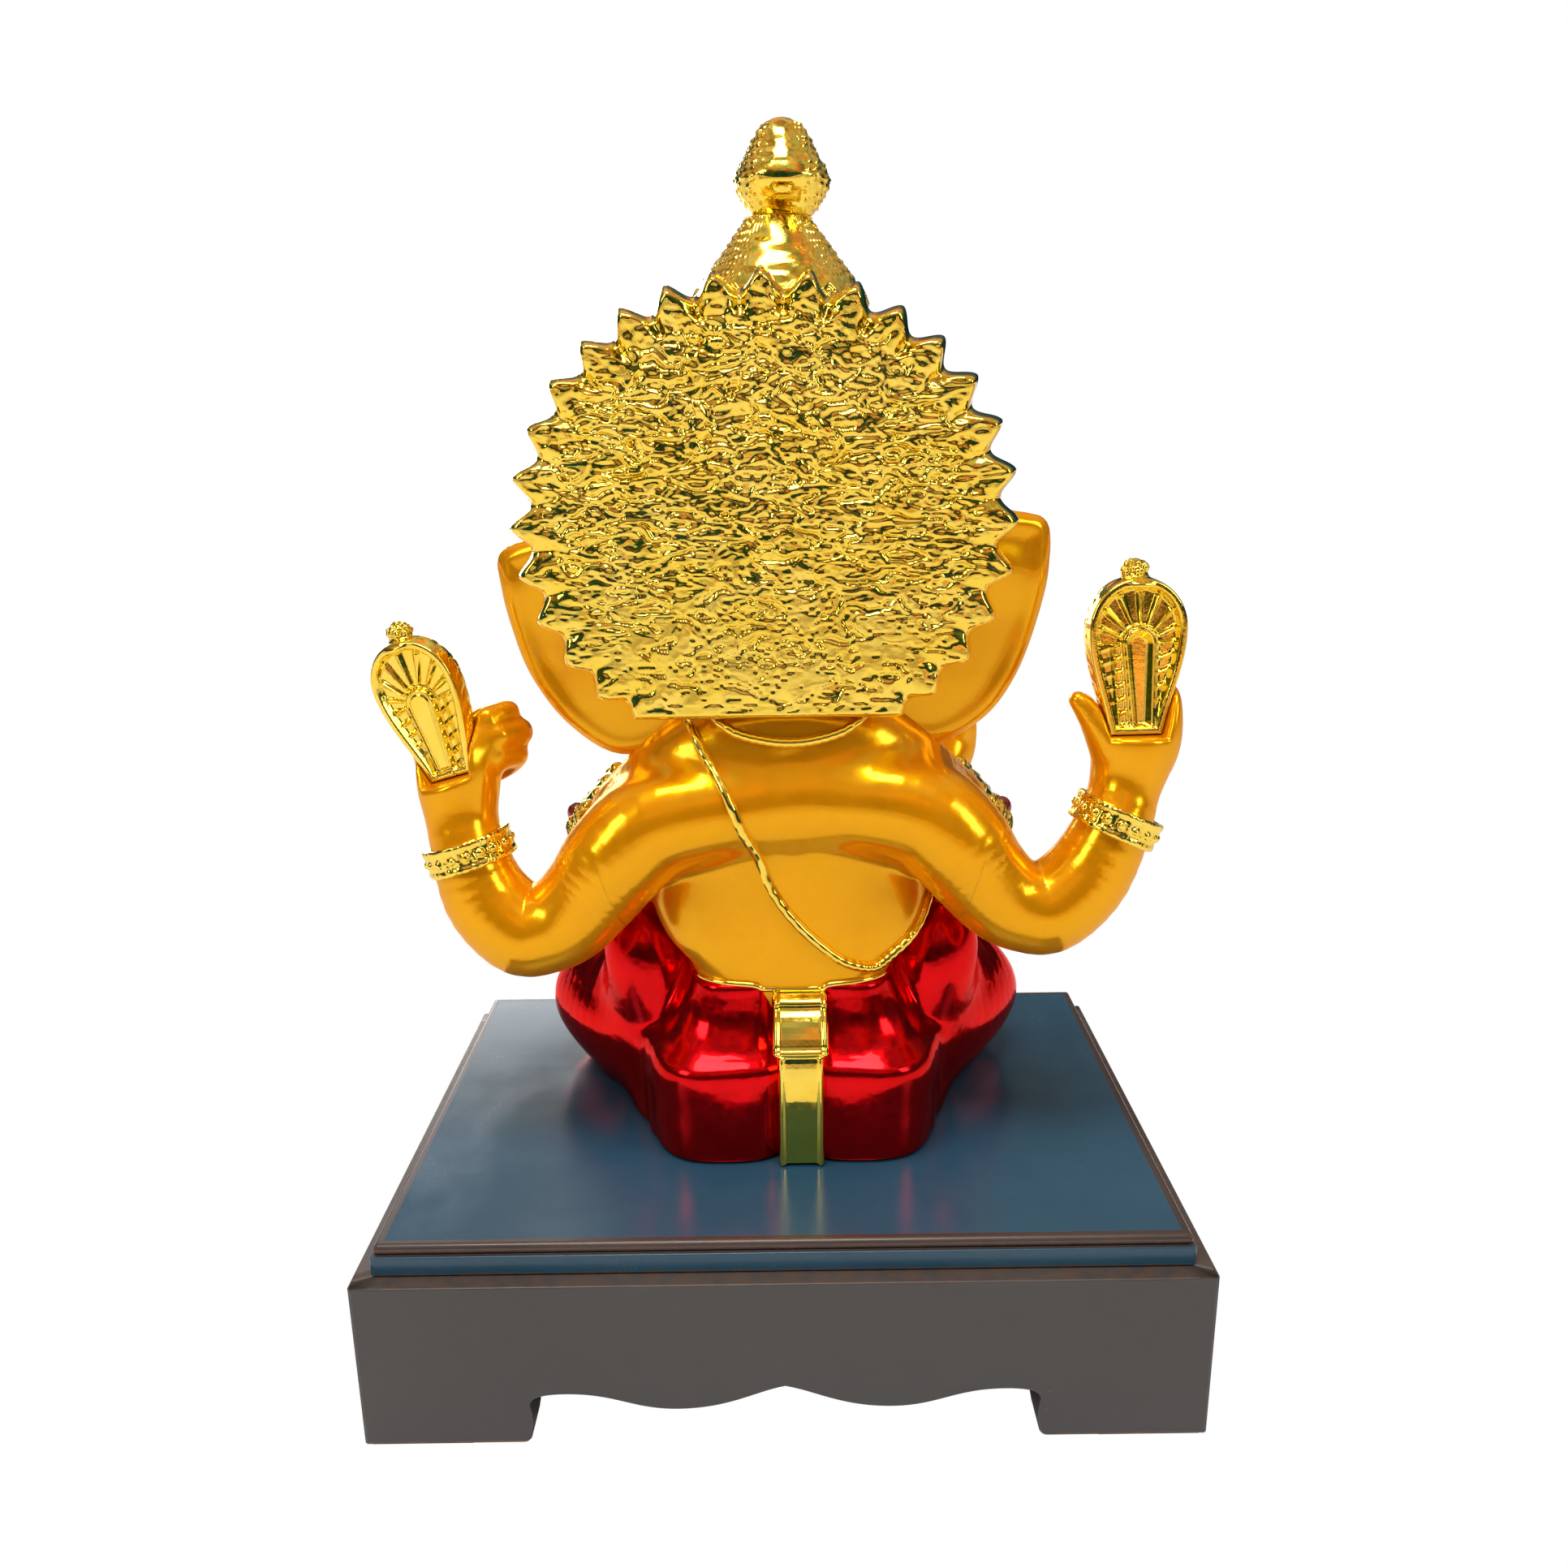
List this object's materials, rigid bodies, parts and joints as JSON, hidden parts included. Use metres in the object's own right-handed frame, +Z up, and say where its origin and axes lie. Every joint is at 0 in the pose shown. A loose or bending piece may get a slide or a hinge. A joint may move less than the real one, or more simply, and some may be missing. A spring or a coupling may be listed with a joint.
{
  "type": "ganesha idol",
  "caption": "Seated Ganesha figure with a petalled crown plate, raised hands and a wrapped red dhoti, screwed to a scalloped wooden plinth.",
  "frame": {"origin": "centre of the plinth's footprint, at the table under the felt pads", "axes": "+Z up, the figure faces -Y, +X to the figure's own left; rest pose: standing on its pads"},
  "size_m": [0.2, 0.144, 0.3017],
  "materials": {
    "plinth_lacquer": "satin blue-black lacquer on wood, brown at worn edges",
    "raw_wood": "unfinished sawn wood",
    "felt": "pressed felt",
    "screw_steel": "zinc plated",
    "pearl_gold": "orange-gold pearl lacquer with a clear gloss coat on cast resin",
    "candy_red": "transparent red lacquer over bright plating on cast resin",
    "gold_plating": "mirror-bright gold plating on cast resin",
    "red_gem": "glossy dark red drop of enamel",
    "tusk_ivory": "satin cream enamel",
    "eye_enamel": "glossy painted enamel"
  },
  "bodies": {
    "root": {"apron_back": "plinth_lacquer", "apron_front": "plinth_lacquer", "apron_left": "plinth_lacquer", "apron_right": "plinth_lacquer", "top_slab": "plinth_lacquer", "deck_board": "raw_wood", "corner_block_back_left": "raw_wood", "corner_block_back_right": "raw_wood", "corner_block_front_left": "raw_wood", "corner_block_front_right": "raw_wood", "foot_pad_back_left": "felt", "foot_pad_back_right": "felt", "foot_pad_front_left": "felt", "foot_pad_front_right": "felt", "fixing_screw_left": "screw_steel", "fixing_screw_right": "screw_steel", "torso": "pearl_gold", "head": "pearl_gold", "trunk": "pearl_gold", "rear_left_arm": "pearl_gold", "rear_right_arm": "pearl_gold", "front_left_arm": "pearl_gold", "front_right_arm": "pearl_gold", "left_foot": "pearl_gold", "right_foot": "pearl_gold", "left_ear": "pearl_gold", "right_ear": "pearl_gold", "modaks": "pearl_gold", "hips": "candy_red", "left_leg": "candy_red", "right_leg": "candy_red", "left_emblem": "gold_plating", "right_emblem": "gold_plating", "rear_left_bangle": "gold_plating", "rear_right_bangle": "gold_plating", "front_left_bangle": "gold_plating", "front_right_bangle": "gold_plating", "left_armlet": "gold_plating", "right_armlet": "gold_plating", "left_anklet": "gold_plating", "right_anklet": "gold_plating", "front_pleat": "gold_plating", "rear_sash": "gold_plating", "waist_band": "gold_plating", "sacred_thread": "gold_plating", "necklace": "gold_plating", "modak_bowl": "gold_plating", "crown_plate": "gold_plating", "crown_band": "gold_plating", "crown_dome": "gold_plating", "crown_finial": "gold_plating", "crown_crest": "gold_plating", "crown_gem": "red_gem", "left_armlet_gem": "red_gem", "right_armlet_gem": "red_gem", "left_tusk": "tusk_ivory", "right_tusk": "tusk_ivory", "left_eye": "eye_enamel", "right_eye": "eye_enamel"}
  },
  "joints": []
}
